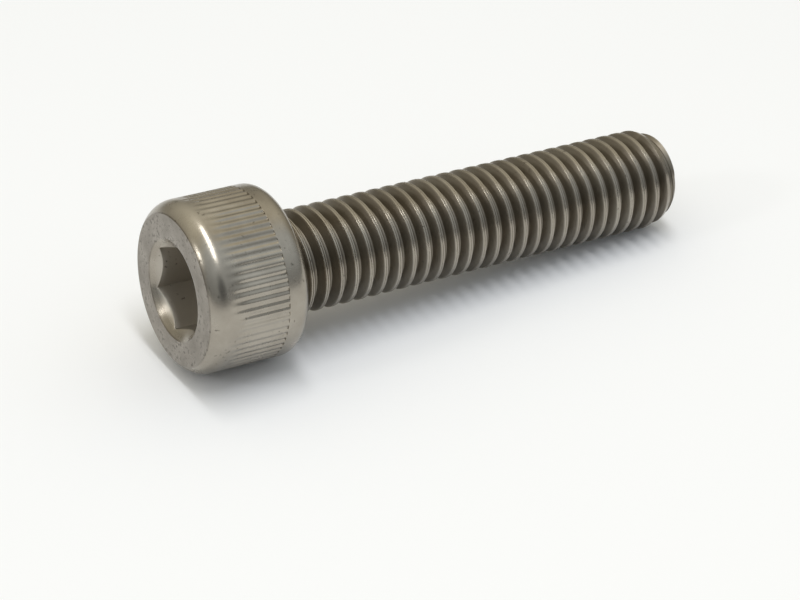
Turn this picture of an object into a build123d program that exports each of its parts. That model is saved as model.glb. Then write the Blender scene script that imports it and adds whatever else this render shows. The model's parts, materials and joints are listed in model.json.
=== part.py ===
"""An M8 x 35 hexagon socket head cap screw, stainless steel, lying as it comes to rest."""

from build123d import *
import math
import os

# ---------------------------------------------------------------- driving sizes, mm
# The screw is built on its own axis first: its head face at z = 0, its point at +z.

# head
HEAD_RADIUS = 6.5
HEAD_HEIGHT = 8.0
SHOULDER_DROP = 0.79        # radial width of the rounded edge around the head face
SHOULDER_LENGTH = 1.45      # length of that edge along the axis
UNDER_EDGE_DROP = 0.75      # radial width of the rounded edge towards the shank
UNDER_EDGE_LENGTH = 1.04

# straight knurl: V grooves that run out through the shoulder and stop at a plain band
KNURL_COUNT = 66
KNURL_DEPTH = 0.18
KNURL_LAND = 0.15           # width left on top of each ridge
PLAIN_BAND = 0.86           # length of the band between the knurl and the rounded edge

# hexagon socket
SOCKET_FLATS = 6.08
SOCKET_DEPTH = 4.1
SOCKET_POINT = 0.6          # depth of the conical bottom below that
SOCKET_TURN = 4.3           # degrees about the axis from the top to a corner of the hexagon
MOUTH_MARGIN = 0.39         # how far the countersunk mouth reaches past the corners
MOUTH_HALF_ANGLE = 50.0     # degrees between the axis and the countersunk mouth

# shank, threaded along its whole length
SHANK_LENGTH = 35.0
CREST_RADIUS = 3.94
PITCH = 1.25
CREST_SHARE = 0.2           # share of the pitch that the flat crest takes
ROOT_SHARE = 0.147          # share that the groove's flat bottom takes
FLANK_ANGLE = 30.0          # degrees between a flank and the plane across the axis
GROOVE_ANGLE = -161.8       # degrees about the axis at which the groove leaves the head
NECK_FILLET = 0.6
NECK_SINK = 0.09            # how far the fillet sinks into the crests before it ends
POINT_LENGTH = 1.6
POINT_DROP = 0.59           # how much smaller in radius the point ends

# how far a cutter reaches past the surface that it opens
REACH = 0.03

# ---------------------------------------------------------------- sizes that follow
TOTAL_LENGTH = HEAD_HEIGHT + SHANK_LENGTH
UNDER_EDGE_START = HEAD_HEIGHT - UNDER_EDGE_LENGTH
KNURL_END = UNDER_EDGE_START - PLAIN_BAND
SOCKET_CORNER_RADIUS = SOCKET_FLATS / math.sqrt(3)
FLANK_SLOPE = math.tan(math.radians(FLANK_ANGLE))
THREAD_DEPTH = PITCH * (1 - CREST_SHARE - ROOT_SHARE) / 2 / FLANK_SLOPE
ROOT_RADIUS = CREST_RADIUS - THREAD_DEPTH
CREST_END = TOTAL_LENGTH - POINT_LENGTH


def rounding_radius(drop, length):
    """The radius of an arc that leaves the side tangentially and ends this far in and along."""
    return (drop**2 + length**2) / (2 * drop)


def revolved(lines):
    """A solid of revolution about the screw's axis, from an outline in the XZ plane."""
    return revolve(make_face(Plane.XZ * lines), Axis.Z)


def head_blank():
    """The turned head, before its socket and knurl."""
    top = rounding_radius(SHOULDER_DROP, SHOULDER_LENGTH)
    under = rounding_radius(UNDER_EDGE_DROP, UNDER_EDGE_LENGTH)
    top_sweep = math.degrees(math.asin(SHOULDER_LENGTH / top))
    under_sweep = math.degrees(math.asin(UNDER_EDGE_LENGTH / under))
    shoulder = CenterArc((HEAD_RADIUS - top, SHOULDER_LENGTH), top, -top_sweep, top_sweep)
    under_edge = CenterArc((HEAD_RADIUS - under, UNDER_EDGE_START), under, 0, under_sweep)
    outline = Line((0, 0), shoulder @ 0)
    outline += shoulder
    outline += Line(shoulder @ 1, under_edge @ 0)
    outline += under_edge
    outline += Line(under_edge @ 1, (0, HEAD_HEIGHT))
    outline += Line((0, HEAD_HEIGHT), (0, 0))
    return revolved(outline)


def knurl_grooves():
    """V grooves along the head's side. They fade out where the shoulder falls below them."""
    tooth_pitch = 2 * math.pi * HEAD_RADIUS / KNURL_COUNT
    slope = (tooth_pitch - KNURL_LAND) / 2 / KNURL_DEPTH
    half_width = slope * (KNURL_DEPTH + REACH)
    bottom = HEAD_RADIUS - KNURL_DEPTH
    top = HEAD_RADIUS + REACH
    section = make_face(Polyline((bottom, 0), (top, half_width), (top, -half_width), close=True))
    return extrude(Sketch() + PolarLocations(0, KNURL_COUNT) * section, KNURL_END)


def socket():
    """The hexagon hole with its conical bottom and its countersunk mouth."""
    hexagon = RegularPolygon(SOCKET_FLATS / 2, 6, major_radius=False, rotation=SOCKET_TURN)
    hole = extrude(hexagon, SOCKET_DEPTH)
    bottom = Pos(0, 0, SOCKET_DEPTH) * Cone(
        SOCKET_FLATS / 2, REACH, SOCKET_POINT, align=(Align.CENTER, Align.CENTER, Align.MIN)
    )
    wide = SOCKET_CORNER_RADIUS + MOUTH_MARGIN
    small = SOCKET_FLATS / 2 - REACH
    depth = (wide - small) / math.tan(math.radians(MOUTH_HALF_ANGLE))
    mouth = Cone(wide, small, depth, align=(Align.CENTER, Align.CENTER, Align.MIN))
    return hole + bottom + mouth


def shank_blank():
    """The bare shank with its tapered point."""
    outline = Polyline(
        (0, HEAD_HEIGHT),
        (CREST_RADIUS, HEAD_HEIGHT),
        (CREST_RADIUS, CREST_END),
        (CREST_RADIUS - POINT_DROP, TOTAL_LENGTH),
        (0, TOTAL_LENGTH),
        close=True,
    )
    return revolved(outline)


def thread_groove():
    """The right-hand groove between the thread's ridges, as one cutter for each turn.

    The turns start a little inside the head's side of the shank and end past its point.
    """
    outer = CREST_RADIUS + REACH
    half_root = ROOT_SHARE * PITCH / 2
    half_outer = half_root + (outer - ROOT_RADIUS) * FLANK_SLOPE
    section = Plane.XZ * make_face(
        Polyline(
            (ROOT_RADIUS, -half_root),
            (outer, -half_outer),
            (outer, half_outer),
            (ROOT_RADIUS, half_root),
            close=True,
        )
    )
    turn = Rot(0, 0, GROOVE_ANGLE) * sweep(section, Helix(PITCH, PITCH, ROOT_RADIUS), is_frenet=True)
    turns = math.ceil(SHANK_LENGTH / PITCH)
    return [Pos(0, 0, HEAD_HEIGHT + step * PITCH) * turn for step in range(-2, turns + 1)]


def neck():
    """The fillet under the head. The first grooves run out into it."""
    inner = CREST_RADIUS - NECK_SINK
    centre = inner + NECK_FILLET
    fillet = CenterArc((centre, HEAD_HEIGHT + NECK_FILLET), NECK_FILLET, 180, 90)
    outline = fillet
    outline += Line(fillet @ 1, (0, HEAD_HEIGHT))
    outline += Line((0, HEAD_HEIGHT), (0, HEAD_HEIGHT + NECK_FILLET))
    outline += Line((0, HEAD_HEIGHT + NECK_FILLET), fillet @ 0)
    return revolved(outline)


def resting_tilt():
    """The angle, in radians, by which the point lies lower than the head on a flat surface.

    The rounded edge under the head and the last full crest both touch the surface.
    """
    edge = rounding_radius(UNDER_EDGE_DROP, UNDER_EDGE_LENGTH)
    along = CREST_END - UNDER_EDGE_START
    across = CREST_RADIUS - (HEAD_RADIUS - edge)
    return math.asin(edge / math.hypot(along, across)) - math.atan2(across, along)


def laid_down(screw):
    """The screw on its side on z = 0, head towards -X, with its middle over the origin."""
    tilt = resting_tilt()
    height = CREST_END * math.sin(tilt) + CREST_RADIUS * math.cos(tilt)
    lying = Plane(
        origin=(0, 0, height),
        x_dir=(math.sin(tilt), 0, math.cos(tilt)),
        z_dir=(math.cos(tilt), 0, -math.sin(tilt)),
    )
    screw = lying.location * screw
    return Pos(-screw.bounding_box().center().X, 0, 0) * screw


def cap_screw():
    """The whole screw, one piece of steel."""
    head = head_blank() - knurl_grooves() - socket()
    shank = shank_blank() - thread_groove()
    return laid_down(head + shank + neck())


os.makedirs("parts", exist_ok=True)
export_step(cap_screw(), "parts/cap_screw.step")
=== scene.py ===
"""The looks of a stainless steel hexagon socket head cap screw that lies on its side.

The screw is one piece of steel, so it is one closed mesh. It is shaped on its own axis
first: x is up, y is the side that faces the viewer, and z runs from the head to the point.
"""

import json
import math

import bmesh
import bpy
import numpy as np
from mathutils import Matrix, Vector


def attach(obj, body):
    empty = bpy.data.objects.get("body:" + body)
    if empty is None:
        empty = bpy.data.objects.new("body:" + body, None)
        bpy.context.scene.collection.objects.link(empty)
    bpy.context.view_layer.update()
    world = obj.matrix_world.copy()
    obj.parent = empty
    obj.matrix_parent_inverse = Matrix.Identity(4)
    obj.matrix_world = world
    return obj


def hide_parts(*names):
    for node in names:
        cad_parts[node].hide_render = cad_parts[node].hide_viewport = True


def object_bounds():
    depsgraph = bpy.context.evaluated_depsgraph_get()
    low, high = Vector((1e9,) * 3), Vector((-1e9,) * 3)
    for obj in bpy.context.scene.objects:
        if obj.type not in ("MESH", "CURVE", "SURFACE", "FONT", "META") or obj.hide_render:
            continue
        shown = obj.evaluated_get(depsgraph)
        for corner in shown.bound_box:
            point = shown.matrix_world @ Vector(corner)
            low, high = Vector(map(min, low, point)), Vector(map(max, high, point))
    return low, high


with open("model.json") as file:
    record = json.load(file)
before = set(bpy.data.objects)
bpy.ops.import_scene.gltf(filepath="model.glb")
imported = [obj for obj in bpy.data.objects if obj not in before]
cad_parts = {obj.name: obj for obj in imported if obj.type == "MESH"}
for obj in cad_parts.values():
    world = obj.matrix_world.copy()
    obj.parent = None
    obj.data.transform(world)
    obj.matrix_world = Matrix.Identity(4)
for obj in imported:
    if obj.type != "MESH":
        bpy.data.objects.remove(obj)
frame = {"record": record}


def plain(box):
    """A box's two corners as plain lists of numbers."""
    return [[float(value) for value in corner] for corner in box]


cad_box = plain(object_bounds())
mounts = {mount["name"]: mount for mount in frame["record"]["mounts"]}

# ---------------------------------------------------------------- sizes, mm
MM = 0.001                  # metres
SIDES = 528                 # corners around the head: eight for each ridge of the knurl
SHANK_SIDES = SIDES // 4

# taken from the frame
SHANK_LENGTH = mounts["thread"]["dims"]["length_mm"]
CREST_RADIUS = mounts["thread"]["dims"]["r_mm"]
SOCKET_APOTHEM = mounts["hex_socket"]["dims"]["r_mm"]
SOCKET_DEPTH = mounts["hex_socket"]["dims"]["length_mm"]
FACE_CENTRE = Vector(mounts["hex_socket"]["pos_m"])
ALONG = -Vector(mounts["hex_socket"]["axis"]).normalized()
HEAD_HEIGHT = (Vector(mounts["thread"]["pos_m"]) - FACE_CENTRE).length / MM
HEAD_RADIUS = (cad_box[1][1] - cad_box[0][1]) / 2 / MM

# head
SHOULDER_DROP = 0.79
SHOULDER_LENGTH = 1.45
UNDER_EDGE_DROP = 0.75
UNDER_EDGE_LENGTH = 1.04
KNURL_COUNT = 66
KNURL_DEPTH = 0.085
KNURL_END = 6.1
KNURL_START = 1.1
KNURL_FADE = 1.5            # length over which the grooves reach their depth
SOCKET_POINT = 0.6
SOCKET_TURN = 4.3           # degrees from the top to a corner of the hexagon
MOUTH_MARGIN = 0.39
MOUTH_HALF_ANGLE = 50.0     # degrees between the axis and the countersunk mouth
MOUTH_SLOPE = math.tan(math.radians(MOUTH_HALF_ANGLE))
EDGE = 0.04                 # radius to which the crisp edges are broken
SHARP_ANGLE = 28.0          # degrees between two faces above which their edge shades sharp

# thread
PITCH = 1.25
CREST_SHARE = 0.2           # share of the pitch that the crest takes
ROOT_SHARE = 0.147          # share that the groove's bottom takes
FLANK_ANGLE = 30.0          # degrees between a flank and the plane across the axis
THREAD_DEPTH = PITCH * (1 - CREST_SHARE - ROOT_SHARE) / 2 / math.tan(math.radians(FLANK_ANGLE))
GROOVE_ANGLE = -161.8       # degrees at which the groove leaves the head
# where the rows of one half of a ridge lie, from the middle of the crest to that of the groove
ROW_PLACES = (0.0, 0.07, 0.15, 0.195, 0.235, 0.265, 0.8, 0.853, 1.0)
ROWS_PER_TURN = 2 * (len(ROW_PLACES) - 1)
NECK_FILLET = 0.5
RUN_OUT = 0.9               # length over which the first groove reaches its depth
POINT_LENGTH = 1.6
POINT_DROP = 0.59


# ---------------------------------------------------------------- small tools
def add(tree, kind, inputs=(), output=0, **settings):
    """Adds a node with its settings, links or sets its inputs, and gives one of its outputs."""
    node = tree.nodes.new(kind)
    for name, value in settings.items():
        setattr(node, name, value)
    pairs = inputs.items() if isinstance(inputs, dict) else enumerate(inputs)
    for key, value in pairs:
        if isinstance(value, bpy.types.NodeSocket):
            tree.links.new(value, node.inputs[key])
        else:
            node.inputs[key].default_value = value
    return node.outputs[output]


def bend(socket, points):
    """Gives the Float Curve that owns this output straight runs through these points."""
    curve = socket.node.mapping.curves[0]
    while len(curve.points) < len(points):
        curve.points.new(0.5, 0.5)
    for knot, (x, y) in zip(curve.points, points):
        knot.location = (x, y)
        knot.handle_type = "VECTOR"
    socket.node.mapping.update()


def linear(hex_colour):
    """An sRGB hex colour as linear RGBA."""
    parts = [int(hex_colour[i : i + 2], 16) / 255 for i in (1, 3, 5)]
    return [p / 12.92 if p <= 0.04045 else ((p + 0.055) / 1.055) ** 2.4 for p in parts] + [1.0]


def new_tree(name, sizes):
    """A Geometry Nodes tree with one named input for each size, and one for the material."""
    tree = bpy.data.node_groups.new(name, "GeometryNodeTree")
    tree.interface.new_socket("Geometry", in_out="INPUT", socket_type="NodeSocketGeometry")
    tree.interface.new_socket("Geometry", in_out="OUTPUT", socket_type="NodeSocketGeometry")
    for label, value in sizes.items():
        kind = "NodeSocketInt" if isinstance(value, int) else "NodeSocketFloat"
        tree.interface.new_socket(label, in_out="INPUT", socket_type=kind)
    tree.interface.new_socket("Material", in_out="INPUT", socket_type="NodeSocketMaterial")
    return tree, tree.nodes.new("NodeGroupInput").outputs


def end_tree(tree, entry, geometry):
    """Ends a tree: what it made is real and has its material."""
    real = add(tree, "GeometryNodeRealizeInstances", [geometry])
    done = add(tree, "GeometryNodeSetMaterial", {"Geometry": real, "Material": entry["Material"]})
    tree.links.new(done, tree.nodes.new("NodeGroupOutput").inputs[0])


def run_tree(tree, mesh, sizes, material):
    """The plain mesh that the tree makes of this mesh with these sizes."""
    holder = bpy.data.objects.new(tree.name, mesh)
    bpy.context.scene.collection.objects.link(holder)
    modifier = holder.modifiers.new(tree.name, "NODES")
    modifier.node_group = tree
    values = {**sizes, "Material": material}
    for socket in tree.interface.items_tree:
        if socket.in_out == "INPUT" and socket.name in values:
            modifier[socket.identifier] = values[socket.name]
    evaluated = holder.evaluated_get(bpy.context.evaluated_depsgraph_get())
    made = bpy.data.meshes.new_from_object(evaluated)
    holder.modifiers.remove(modifier)
    bpy.data.objects.remove(holder)
    return made


# ---------------------------------------------------------------- the head
ANGLES = np.radians(SOCKET_TURN) + np.arange(SIDES) * 2 * math.pi / SIDES


def hexagon_radius():
    """Distance from the axis to the socket's wall at each angle."""
    sixth = math.radians(60.0)
    from_flat = (ANGLES - math.radians(SOCKET_TURN)) % sixth - sixth / 2
    return SOCKET_APOTHEM / np.cos(from_flat)


def arc_rings(drop, length, start, turned, steps):
    """Rings down a rounded edge that leaves the head's side tangentially, as (radius, z)."""
    radius = (drop**2 + length**2) / (2 * drop)
    sweep = math.asin(length / radius)
    rings = []
    for step in steps:
        angle = sweep * step
        fall = radius * (1 - math.cos(angle))
        rings.append((HEAD_RADIUS - fall, start + turned * radius * math.sin(angle)))
    return rings


def head_rings():
    """Every ring of the head from the socket's bottom, over the face and side, to the neck."""
    wall = hexagon_radius()
    wide = SOCKET_APOTHEM * 2 / math.sqrt(3) + MOUTH_MARGIN
    face_edge = HEAD_RADIUS - SHOULDER_DROP
    mouth = (wide - wall) / MOUTH_SLOPE
    rings = []
    for share in (0.08, 0.4, 0.75, 0.97):
        rings.append((wall * share, SOCKET_DEPTH + SOCKET_POINT * (1 - share)))
    for share in (0.0, 0.03, 0.3, 0.6, 0.85, 1.0):
        rings.append((wall, SOCKET_DEPTH + (mouth + EDGE - SOCKET_DEPTH) * share))
    rings.append((wall + 0.3 * EDGE, mouth + 0.15 * EDGE))
    for share in (0.1, 0.4, 0.7, 0.92):
        rings.append((wall + (wide - wall) * share, mouth * (1 - share)))
    rings.append((wide, 0.12 * EDGE))
    for share in (0.03, 0.25, 0.5, 0.75, 0.975):
        rings.append((wide + (face_edge - wide) * share, 0.0))
    rings.append((face_edge, 0.0))
    shoulder = (0.97, 0.88, 0.78, 0.66, 0.54, 0.42, 0.3, 0.18, 0.08, 0.0)
    rings += arc_rings(SHOULDER_DROP, SHOULDER_LENGTH, SHOULDER_LENGTH, -1, shoulder)
    for z in np.linspace(SHOULDER_LENGTH, KNURL_END - EDGE, 14)[1:]:
        rings.append((HEAD_RADIUS, z))
    under_start = HEAD_HEIGHT - UNDER_EDGE_LENGTH
    for z in (KNURL_END, KNURL_END + 0.5 * EDGE, KNURL_END + 2 * EDGE, (KNURL_END + under_start) / 2):
        rings.append((HEAD_RADIUS, z))
    under = (0.0, 0.15, 0.3, 0.45, 0.6, 0.75, 0.88, 0.97)
    rings += arc_rings(UNDER_EDGE_DROP, UNDER_EDGE_LENGTH, under_start, 1, under)
    bearing = HEAD_RADIUS - UNDER_EDGE_DROP
    neck = CREST_RADIUS + NECK_FILLET
    for share in (0.04, 0.5, 1.0):
        rings.append((bearing + (neck - bearing) * share, HEAD_HEIGHT))
    return rings


def head_mesh():
    """The turned head with its socket. Its last ring is left open for the shank."""
    rings = head_rings()
    corners = [(0.0, 0.0, (SOCKET_DEPTH + SOCKET_POINT) * MM)]
    for radius, z in rings:
        radius = np.broadcast_to(radius, SIDES) * MM
        z = np.broadcast_to(z, SIDES) * MM
        corners += zip(radius * np.cos(ANGLES), radius * np.sin(ANGLES), z)
    faces = [(0, 1 + (i + 1) % SIDES, 1 + i) for i in range(SIDES)]
    for ring in range(len(rings) - 1):
        low = 1 + ring * SIDES
        for i in range(SIDES):
            j = (i + 1) % SIDES
            faces.append((low + i, low + j, low + SIDES + j, low + SIDES + i))
    mesh = bpy.data.meshes.new("turned_head")
    mesh.from_pydata(corners, [], faces)
    return mesh


KNURL_SIZES = {
    "Ridges": KNURL_COUNT,
    "Head Radius": HEAD_RADIUS * MM,
    "Depth": KNURL_DEPTH * MM,
    "Start": KNURL_START * MM,
    "Fade": KNURL_FADE * MM,
    "End": KNURL_END * MM,
    "End Step": EDGE / 2 * MM,
    "Seed": 4,
}


def knurl_tree():
    """Presses straight ridges into the side of a turned head, a little unevenly."""
    tree, entry = new_tree("straight_knurl", KNURL_SIZES)
    place = add(tree, "GeometryNodeInputPosition")
    x = add(tree, "ShaderNodeSeparateXYZ", [place], 0)
    y = add(tree, "ShaderNodeSeparateXYZ", [place], 1)
    z = add(tree, "ShaderNodeSeparateXYZ", [place], 2)
    angle = add(tree, "ShaderNodeMath", [y, x], operation="ARCTAN2")
    turns = add(tree, "ShaderNodeMath", [angle, 2 * math.pi], operation="DIVIDE")
    tooth = add(tree, "ShaderNodeMath", [turns, entry["Ridges"]], operation="MULTIPLY")
    off_ridge = add(tree, "ShaderNodeMath", [tooth, 0.5], operation="PINGPONG")
    across = add(tree, "ShaderNodeMath", [off_ridge, 2.0], operation="MULTIPLY")
    groove = add(tree, "ShaderNodeFloatCurve", {"Value": across})
    bend(groove, [(0.0, 0.0), (0.25, 0.08), (0.5, 0.5), (0.75, 0.92), (1.0, 1.0)])
    # each ridge starts at its own height and has its own depth
    ridge = add(tree, "ShaderNodeMath", [tooth, 1.0], operation="SNAP")
    key = add(tree, "ShaderNodeMath", [ridge, entry["Seed"]], operation="ADD")
    uneven = add(tree, "ShaderNodeTexWhiteNoise", {"W": key}, noise_dimensions="1D")
    shift = add(tree, "ShaderNodeMath", [uneven, entry["Fade"]], operation="MULTIPLY")
    shift = add(tree, "ShaderNodeMath", [shift, 0.35], operation="MULTIPLY")
    begins = add(tree, "ShaderNodeMath", [entry["Start"], shift], operation="ADD")
    full = add(tree, "ShaderNodeMath", [begins, entry["Fade"]], operation="ADD")
    rise = add(
        tree,
        "ShaderNodeMapRange",
        {"Value": z, "From Min": begins, "From Max": full, "To Min": 0.0, "To Max": 1.0},
        interpolation_type="SMOOTHSTEP",
    )
    stop = add(tree, "ShaderNodeMath", [entry["End"], entry["End Step"]], operation="ADD")
    fall = add(
        tree,
        "ShaderNodeMapRange",
        {"Value": z, "From Min": entry["End"], "From Max": stop, "To Min": 1.0, "To Max": 0.0},
    )
    reach = add(tree, "ShaderNodeMath", [rise, fall], operation="MULTIPLY")
    weight = add(tree, "ShaderNodeMath", [uneven, 0.3, 0.82], operation="MULTIPLY_ADD")
    reach = add(tree, "ShaderNodeMath", [reach, weight], operation="MULTIPLY")
    deep = add(tree, "ShaderNodeMath", [groove, reach], operation="MULTIPLY")
    deep = add(tree, "ShaderNodeMath", [deep, entry["Depth"]], operation="MULTIPLY")
    limit = add(tree, "ShaderNodeMath", [entry["Head Radius"], deep], operation="SUBTRACT")
    flat = add(tree, "ShaderNodeCombineXYZ", [x, y, 0.0])
    radius = add(tree, "ShaderNodeVectorMath", [flat], 1, operation="LENGTH")
    kept = add(tree, "ShaderNodeMath", [radius, limit], operation="MINIMUM")
    ratio = add(tree, "ShaderNodeMath", [kept, radius], operation="DIVIDE")
    ratio = add(tree, "ShaderNodeMath", [ratio, 1.0], operation="SUBTRACT")
    inwards = add(tree, "ShaderNodeVectorMath", {0: flat, "Scale": ratio}, operation="SCALE")
    pressed = add(tree, "GeometryNodeSetPosition", {"Geometry": entry["Geometry"], "Offset": inwards})
    end_tree(tree, entry, pressed)
    return tree


# ---------------------------------------------------------------- the shank
THREAD_SIZES = {
    "Turns": math.ceil(SHANK_LENGTH / PITCH) + 3,
    "Rows per Turn": ROWS_PER_TURN,
    "Sides": SHANK_SIDES,
    "First Angle": math.radians(SOCKET_TURN),
    "Groove Start": (SOCKET_TURN - GROOVE_ANGLE) / 360,
    "Head Height": HEAD_HEIGHT * MM,
    "Length": SHANK_LENGTH * MM,
    "Pitch": PITCH * MM,
    "Crest Radius": CREST_RADIUS * MM,
    "Depth": THREAD_DEPTH * MM,
    "Run-out": RUN_OUT * MM,
    "Fillet": NECK_FILLET * MM,
    "Point Length": POINT_LENGTH * MM,
    "Point Drop": POINT_DROP * MM,
    "Point Edge": 0.2 * MM,
}


def thread_tree():
    """A shank with a right-hand thread, as a sheet of rows that follow the helix.

    Rows crowd towards the crests, where the two rolled flanks close in a shallow seam.
    """
    tree, entry = new_tree("rolled_thread", THREAD_SIZES)
    rows = add(tree, "ShaderNodeMath", [entry["Turns"], entry["Rows per Turn"]], operation="MULTIPLY")
    rows = add(tree, "ShaderNodeMath", [rows, 1.0], operation="ADD")
    columns = add(tree, "ShaderNodeMath", [entry["Sides"], 1.0], operation="ADD")
    sheet = add(
        tree,
        "GeometryNodeMeshGrid",
        {"Size X": 1.0, "Size Y": 1.0, "Vertices X": rows, "Vertices Y": columns},
    )
    place = add(tree, "GeometryNodeInputPosition")
    across = add(tree, "ShaderNodeSeparateXYZ", [place], 0)
    around = add(tree, "ShaderNodeSeparateXYZ", [place], 1)
    turn = add(tree, "ShaderNodeMath", [around, 0.5], operation="ADD")
    row = add(tree, "ShaderNodeMath", [across, 0.5], operation="ADD")
    row = add(tree, "ShaderNodeMath", [row, entry["Turns"]], operation="MULTIPLY")
    whole = add(tree, "ShaderNodeMath", [row], operation="FLOOR")
    part = add(tree, "ShaderNodeMath", [row, whole], operation="SUBTRACT")
    crowded = add(tree, "ShaderNodeFloatCurve", {"Value": part})
    knots = []
    for step in range(ROWS_PER_TURN + 1):
        side = step - ROWS_PER_TURN // 2
        knots.append((step / ROWS_PER_TURN, 0.5 + math.copysign(ROW_PLACES[abs(side)], side) / 2))
    bend(crowded, knots)
    row = add(tree, "ShaderNodeMath", [whole, crowded], operation="ADD")
    # height above the head, cut off level at both ends of the shank
    rise = add(tree, "ShaderNodeMath", [row, turn], operation="ADD")
    rise = add(tree, "ShaderNodeMath", [rise, entry["Groove Start"]], operation="ADD")
    rise = add(tree, "ShaderNodeMath", [rise, 2.0], operation="SUBTRACT")
    height = add(tree, "ShaderNodeMath", [rise, entry["Pitch"]], operation="MULTIPLY")
    height = add(tree, "ShaderNodeClamp", {"Value": height, "Min": 0.0, "Max": entry["Length"]})
    # distance from the groove's middle, 0 there and 1 in the middle of the crest
    phase = add(tree, "ShaderNodeMath", [height, entry["Pitch"]], operation="DIVIDE")
    phase = add(tree, "ShaderNodeMath", [phase, turn], operation="SUBTRACT")
    phase = add(tree, "ShaderNodeMath", [phase, entry["Groove Start"]], operation="SUBTRACT")
    phase = add(tree, "ShaderNodeMath", [phase, 0.5], operation="PINGPONG")
    phase = add(tree, "ShaderNodeMath", [phase, 2.0], operation="MULTIPLY")
    ridge = add(tree, "ShaderNodeFloatCurve", {"Value": phase})
    crest = 1 - CREST_SHARE
    bend(
        ridge,
        [
            (0.0, 0.0),
            (ROOT_SHARE, 0.02),
            (crest - 0.035, 0.965),
            (crest + 0.005, 0.995),
            (crest + 0.05, 1.0),
            (0.93, 1.0),
            (1.0, 0.93),
        ],
    )
    hollow = add(tree, "ShaderNodeMath", [1.0, ridge], operation="SUBTRACT")
    ready = add(
        tree,
        "ShaderNodeMapRange",
        {"Value": height, "From Min": 0.0, "From Max": entry["Run-out"]},
        interpolation_type="SMOOTHSTEP",
    )
    in_groove = add(tree, "ShaderNodeMath", [hollow, ready], operation="MULTIPLY")
    hollow = add(tree, "ShaderNodeMath", [in_groove, entry["Depth"]], operation="MULTIPLY")
    radius = add(tree, "ShaderNodeMath", [entry["Crest Radius"], hollow], operation="SUBTRACT")
    # the tapered point
    left = add(tree, "ShaderNodeMath", [entry["Length"], height], operation="SUBTRACT")
    taper = add(
        tree,
        "ShaderNodeMapRange",
        {
            "Value": left,
            "From Min": entry["Point Length"],
            "From Max": 0.0,
            "To Max": entry["Point Drop"],
        },
    )
    envelope = add(tree, "ShaderNodeMath", [entry["Crest Radius"], taper], operation="SUBTRACT")
    radius = add(tree, "ShaderNodeMath", [radius, envelope], operation="MINIMUM")
    # the fillet under the head stands on the shank, and the point's edge is rounded off
    ends = ((height, entry["Fillet"], "ADD"), (left, entry["Point Edge"], "SUBTRACT"))
    for distance, edge, sign in ends:
        near = add(tree, "ShaderNodeMath", [distance, edge], operation="DIVIDE")
        near = add(tree, "ShaderNodeMath", [1.0, near], operation="SUBTRACT", use_clamp=True)
        square = add(tree, "ShaderNodeMath", [near, near], operation="MULTIPLY")
        chord = add(tree, "ShaderNodeMath", [1.0, square], operation="SUBTRACT")
        chord = add(tree, "ShaderNodeMath", [chord], operation="SQRT")
        bulge = add(tree, "ShaderNodeMath", [1.0, chord], operation="SUBTRACT")
        bulge = add(tree, "ShaderNodeMath", [bulge, edge], operation="MULTIPLY")
        radius = add(tree, "ShaderNodeMath", [radius, bulge], operation=sign)
    angle = add(
        tree, "ShaderNodeMath", [turn, 2 * math.pi, entry["First Angle"]], operation="MULTIPLY_ADD"
    )
    cosine = add(tree, "ShaderNodeMath", [angle], operation="COSINE")
    sine = add(tree, "ShaderNodeMath", [angle], operation="SINE")
    x = add(tree, "ShaderNodeMath", [cosine, radius], operation="MULTIPLY")
    y = add(tree, "ShaderNodeMath", [sine, radius], operation="MULTIPLY")
    z = add(tree, "ShaderNodeMath", [height, entry["Head Height"]], operation="ADD")
    spot = add(tree, "ShaderNodeCombineXYZ", [x, y, z])
    noted = add(
        tree,
        "GeometryNodeStoreNamedAttribute",
        {"Geometry": sheet, "Name": "groove_depth", "Value": in_groove},
        data_type="FLOAT",
        domain="POINT",
    )
    rolled = add(tree, "GeometryNodeSetPosition", {"Geometry": noted, "Position": spot})
    closed = add(tree, "GeometryNodeMergeByDistance", {"Geometry": rolled, "Distance": 0.001 * MM})
    end_tree(tree, entry, closed)
    return tree


# ---------------------------------------------------------------- one closed body
def open_rings(body):
    """The open edges of a mesh as rings of corners, in order of height and then of angle."""
    loose = {v for e in body.edges if e.is_boundary for v in e.verts}
    heights = sorted({round(v.co.z / MM, 3) for v in loose})
    rings = []
    for height in heights:
        ring = [v for v in loose if abs(v.co.z / MM - height) < 0.002]
        turn = math.radians(SOCKET_TURN) - 0.001
        rings.append(sorted(ring, key=lambda v: (math.atan2(v.co.y, v.co.x) - turn) % (2 * math.pi)))
    return rings


def close_neck(body, head_ring, shank_ring):
    """Joins the head's open ring to the shank's, which has a quarter as many corners."""
    many, few = len(head_ring), len(shank_ring)
    step = many // few
    for j in range(few):
        inner, following = shank_ring[j], shank_ring[(j + 1) % few]
        outer = [head_ring[(j * step + i) % many] for i in range(step + 1)]
        for i in range(step):
            hub = inner if i < step / 2 else following
            body.faces.new((hub, outer[i + 1], outer[i]))
        body.faces.new((inner, following, outer[step // 2]))


def close_point(body, ring):
    """Closes the shank's end with the shallow cup that thread rolling leaves there."""
    end = ring[0].co.z
    rim = [v.co.copy() for v in ring]
    for share, sink in ((0.94, 0.0), (0.7, 0.03), (0.45, 0.16), (0.2, 0.3)):
        inner = [body.verts.new((co.x * share, co.y * share, end - sink * MM)) for co in rim]
        for i in range(len(ring)):
            j = (i + 1) % len(ring)
            body.faces.new((ring[i], ring[j], inner[j], inner[i]))
        ring = inner
    middle = body.verts.new((0, 0, end - 0.36 * MM))
    for i in range(len(ring)):
        body.faces.new((ring[i], ring[(i + 1) % len(ring)], middle))


def lying():
    """Where the screw's own axes are in the frame: its face's centre and its slope."""
    up = (Vector((0, 0, 1)) - ALONG * ALONG.z).normalized()
    side = ALONG.cross(up)
    turned = Matrix((up, side, ALONG)).transposed().to_4x4()
    return Matrix.Translation(FACE_CENTRE) @ turned


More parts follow.
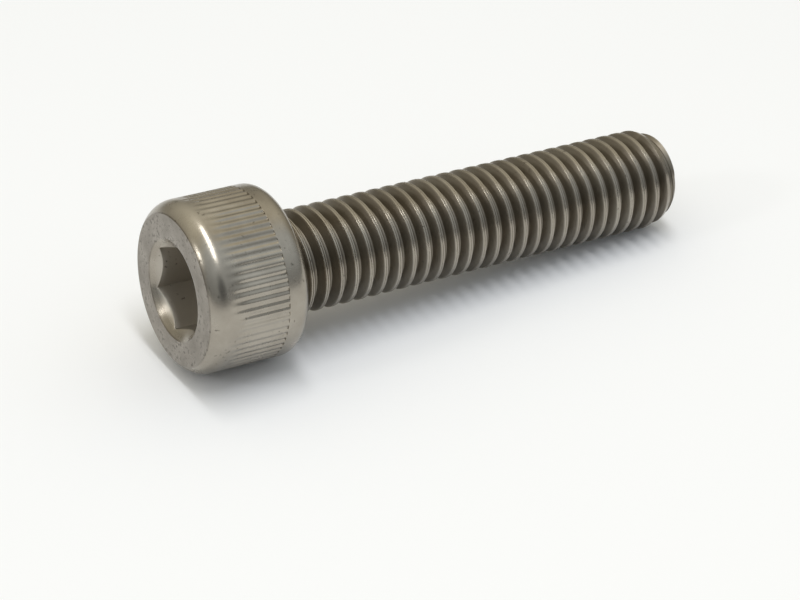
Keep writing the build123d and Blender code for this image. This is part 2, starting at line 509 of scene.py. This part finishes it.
def cap_screw(material):
    """The whole screw as one closed mesh, in its place."""
    head = run_tree(knurl_tree(), head_mesh(), KNURL_SIZES, material)
    shank = run_tree(thread_tree(), bpy.data.meshes.new("blank"), THREAD_SIZES, material)
    body = bmesh.new()
    body.from_mesh(shank)
    neck_ring, point_ring = open_rings(body)
    close_point(body, point_ring)
    body.from_mesh(head)
    head_ring = [corner for corner in open_rings(body)[0] if corner not in neck_ring]
    close_neck(body, head_ring, neck_ring)
    bmesh.ops.recalc_face_normals(body, faces=body.faces)
    for face in body.faces:
        face.smooth = True
    mesh = bpy.data.meshes.new("socket_cap_screw")
    body.to_mesh(mesh)
    body.free()
    mesh.materials.clear()
    mesh.materials.append(material)
    mesh.transform(lying())
    mesh.set_sharp_from_angle(angle=math.radians(SHARP_ANGLE))
    piece = bpy.data.objects.new("socket_cap_screw", mesh)
    bpy.context.scene.collection.objects.link(piece)
    return piece


# ---------------------------------------------------------------- materials
def cold_formed_stainless():
    """Stainless steel, headed and rolled cold from drawn wire, then tumbled.

    It gives a satin grey with broad soft reflections and faint blotches. Draw lines run
    along the sides, small dark pits are scattered over it, and the thread's grooves are
    rougher than its crests, because nothing rubs them bright, and carry painted shade that darkens them
    by their depth.
    """
    material = bpy.data.materials.new("cold_formed_stainless")
    material.use_nodes = True
    tree = material.node_tree
    shader = tree.nodes["Principled BSDF"]
    place = add(tree, "ShaderNodeTexCoord", output="Object")
    back = lying().inverted()
    turned = {"Vector": place, "Location": back.translation, "Rotation": back.to_euler()}
    own = add(tree, "ShaderNodeMapping", turned)
    # faint blotches of 4 mm in the metal's colour
    blotch = add(
        tree,
        "ShaderNodeTexNoise",
        {"Vector": own, "Scale": 250.0, "Detail": 5.0, "Roughness": 0.62},
    )
    tint = add(tree, "ShaderNodeValToRGB", [blotch])
    ramp = tint.node.color_ramp
    ramp.elements[0].position, ramp.elements[0].color = 0.32, linear("#938C81")
    ramp.elements[1].position, ramp.elements[1].color = 0.68, linear("#ABA59A")
    # the head's face is as the header's punch left it: duller, with darker clouds of 2 mm
    z = add(tree, "ShaderNodeSeparateXYZ", [own], 2)
    face = add(
        tree,
        "ShaderNodeMapRange",
        {"Value": z, "From Min": 0.03 * MM, "From Max": 0.09 * MM, "To Min": 1.0, "To Max": 0.0},
    )
    patch = add(
        tree,
        "ShaderNodeTexNoise",
        {"Vector": own, "Scale": 420.0, "Detail": 4.0, "Roughness": 0.6},
    )
    cloud = add(tree, "ShaderNodeValToRGB", [patch])
    ramp = cloud.node.color_ramp
    ramp.elements[0].position, ramp.elements[0].color = 0.35, linear("#7C766D")
    ramp.elements[1].position, ramp.elements[1].color = 0.65, linear("#99938A")
    skin = add(tree, "ShaderNodeMix", {0: face, 6: tint, 7: cloud}, 2, data_type="RGBA")
    # inside the socket the punched walls are rough and scatter what light comes in; their colour is
    # also painted lighter there, as painted light for the light that bounces about inside the socket
    flat = add(tree, "ShaderNodeVectorMath", [own, (1.0, 1.0, 0.0)], operation="MULTIPLY")
    radius = add(tree, "ShaderNodeVectorMath", [flat], 1, operation="LENGTH")
    bore = add(
        tree,
        "ShaderNodeMapRange",
        {"Value": radius, "From Min": 3.6 * MM, "From Max": 3.7 * MM, "To Min": 1.0, "To Max": 0.0},
    )
    below = add(tree, "ShaderNodeMapRange", {"Value": z, "From Min": 0.3 * MM, "From Max": 0.8 * MM})
    above = add(
        tree,
        "ShaderNodeMapRange",
        {"Value": z, "From Min": 4.8 * MM, "From Max": 4.9 * MM, "To Min": 1.0, "To Max": 0.0},
    )
    socket_rough_and_painted_light = add(tree, "ShaderNodeMath", [bore, below], operation="MULTIPLY")
    socket_rough_and_painted_light = add(tree, "ShaderNodeMath", [socket_rough_and_painted_light, above], operation="MULTIPLY")
    # painted light: the socket's walls get a lighter colour that stands in for light bouncing inside,
    # not a colour of their own
    skin = add(tree, "ShaderNodeMix", {0: socket_rough_and_painted_light, 6: skin, 7: linear("#BAB4AA")}, 2, data_type="RGBA")
    # draw lines and drag marks, 0.2 mm wide and 2 mm long
    stretched = add(tree, "ShaderNodeMapping", {"Vector": own, "Scale": (5000.0, 5000.0, 500.0)})
    lines = add(tree, "ShaderNodeTexNoise", {"Vector": stretched, "Scale": 1.0, "Detail": 3.0})
    # pits of 0.1 to 0.3 mm, in patches, and most of them on the face
    speck = add(tree, "ShaderNodeTexNoise", {"Vector": own, "Scale": 3200.0, "Detail": 2.0})
    level = add(tree, "ShaderNodeMath", [patch, 0.5, speck], operation="MULTIPLY_ADD")
    level = add(tree, "ShaderNodeMath", [face, 0.12, level], operation="MULTIPLY_ADD")
    pits = add(
        tree, "ShaderNodeMapRange", {"Value": level, "From Min": 0.95, "From Max": 1.02, "To Max": 0.6}
    )
    pitted = add(tree, "ShaderNodeMix", {0: pits, 6: skin, 7: linear("#4A443C")}, 2, data_type="RGBA")
    # painted shade: the thread's grooves are painted darker the deeper they are, and made rougher
    depth = add(tree, "ShaderNodeAttribute", {}, 2, attribute_name="groove_depth")
    groove_dull_and_painted_shade = add(
        tree,
        "ShaderNodeMapRange",
        {"Value": depth, "From Min": 0.04, "From Max": 0.2, "To Max": 0.7},
    )
    colour = add(tree, "ShaderNodeMix", {0: groove_dull_and_painted_shade, 6: pitted, 7: linear("#6E675C")}, 2, data_type="RGBA")
    tree.links.new(colour, shader.inputs["Base Color"])
    rough = add(
        tree,
        "ShaderNodeMapRange",
        {"Value": blotch, "From Min": 0.3, "From Max": 0.7, "To Min": 0.2, "To Max": 0.3},
    )
    rough = add(tree, "ShaderNodeMath", [groove_dull_and_painted_shade, 0.15, rough], operation="MULTIPLY_ADD")
    rough = add(tree, "ShaderNodeMath", [socket_rough_and_painted_light, 0.25, rough], operation="MULTIPLY_ADD")
    tree.links.new(rough, shader.inputs["Roughness"])
    # tumbling grain, 0.2 mm
    grain = add(tree, "ShaderNodeTexNoise", {"Vector": own, "Scale": 5000.0, "Detail": 3.0})
    relief = add(tree, "ShaderNodeMath", [lines, 0.6, grain], operation="MULTIPLY_ADD")
    relief = add(tree, "ShaderNodeMath", [pits, -1.0, relief], operation="MULTIPLY_ADD")
    bump = add(tree, "ShaderNodeBump", {"Height": relief, "Strength": 0.2, "Distance": 0.00001})
    tree.links.new(bump, shader.inputs["Normal"])
    shader.inputs["Metallic"].default_value = 1.0
    return material


def pale_paper():
    """A sheet of matt white paper, which the screw lies on."""
    material = bpy.data.materials.new("pale_paper")
    material.use_nodes = True
    shader = material.node_tree.nodes["Principled BSDF"]
    shader.inputs["Base Color"].default_value = linear("#F2F3F6")
    shader.inputs["Roughness"].default_value = 0.9
    shader.inputs["Specular IOR Level"].default_value = 0.1
    return material


# ---------------------------------------------------------------- surroundings
def floor():
    """A level sheet that the screw lies on."""
    mesh = bpy.data.meshes.new("floor")
    half = 1.5
    corners = [(-half, -half, 0), (half, -half, 0), (half, half, 0), (-half, half, 0)]
    mesh.from_pydata(corners, [], [(0, 1, 2, 3)])
    mesh.materials.append(pale_paper())
    piece = bpy.data.objects.new("floor", mesh)
    bpy.context.scene.collection.objects.link(piece)


def lamp(name, direction, distance, size, watts, colour):
    """A square soft lamp that looks at the middle of the screw."""
    light = bpy.data.lights.new(name, "AREA")
    light.shape = "RECTANGLE"
    light.size, light.size_y = size
    light.energy = watts
    light.color = linear(colour)[:3]
    piece = bpy.data.objects.new(name, light)
    way = Vector(direction).normalized()
    piece.location = way * distance
    piece.rotation_euler = way.to_track_quat("Z", "Y").to_euler()
    bpy.context.scene.collection.objects.link(piece)


def room():
    """Soft light from above that falls off towards the walls, warm behind and cool in front."""
    world = bpy.data.worlds.new("room")
    bpy.context.scene.world = world
    world.use_nodes = True
    tree = world.node_tree
    way = add(tree, "ShaderNodeTexCoord", output="Generated")
    depth = add(tree, "ShaderNodeSeparateXYZ", [way], 1)
    height = add(tree, "ShaderNodeSeparateXYZ", [way], 2)
    behind = add(tree, "ShaderNodeMapRange", {"Value": depth, "From Min": -0.25, "From Max": 0.15})
    walls = add(
        tree,
        "ShaderNodeMix",
        {0: behind, 6: linear("#F1F7FA"), 7: linear("#FFF9E6")},
        2,
        data_type="RGBA",
    )
    glow = add(tree, "ShaderNodeValToRGB", [height])
    ramp = glow.node.color_ramp
    ramp.elements[0].position, ramp.elements[0].color = 0.0, (0.26, 0.25, 0.24, 1)
    ramp.elements[1].position, ramp.elements[1].color = 1.0, (1.0, 1.0, 1.0, 1)
    middle = ramp.elements.new(0.45)
    middle.color = (0.6, 0.6, 0.6, 1)
    light = add(
        tree,
        "ShaderNodeMix",
        {0: 1.0, 6: walls, 7: glow},
        2,
        data_type="RGBA",
        blend_type="MULTIPLY",
    )
    # a dark screen in front, which draws a dark line along the head's rounded edge
    towards = add(tree, "ShaderNodeVectorMath", [way, (-0.17, -0.92, 0.34)], 1, operation="DOT_PRODUCT")
    screen = add(
        tree,
        "ShaderNodeMapRange",
        {"Value": towards, "From Min": 0.93, "From Max": 0.97, "To Min": 1.0, "To Max": 0.3},
    )
    tree.links.new(light, tree.nodes["Background"].inputs["Color"])
    tree.links.new(screen, tree.nodes["Background"].inputs["Strength"])


def camera():
    """The viewer: to the left of the screw's front, looking down on it."""
    azimuth, elevation, distance = math.radians(-31.34), math.radians(32.66), 195 * MM
    aim = Vector((-3.998, -3.122, 2.116)) * MM
    lens = bpy.data.cameras.new("camera")
    lens.lens = 116.28
    lens.clip_start = 0.01
    piece = bpy.data.objects.new("camera", lens)
    level = math.cos(elevation)
    way = Vector((math.sin(azimuth) * level, -math.cos(azimuth) * level, math.sin(elevation)))
    piece.location = aim + way * distance
    piece.rotation_euler = way.to_track_quat("Z", "Y").to_euler()
    bpy.context.scene.collection.objects.link(piece)
    bpy.context.scene.camera = piece


screw = cap_screw(cold_formed_stainless())
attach(screw, "root")
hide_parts("cap_screw")
floor()
room()
lamp("overhead_strip", (-0.02, -0.145, 0.99), 0.4, (0.06, 0.32), 0.62, "#FFFFFF")
lamp("side_spot", (-0.86, 0.07, 0.51), 0.5, (0.06, 0.06), 0.15, "#FFFFFF")
camera()
bpy.context.scene.view_settings.view_transform = "Standard"
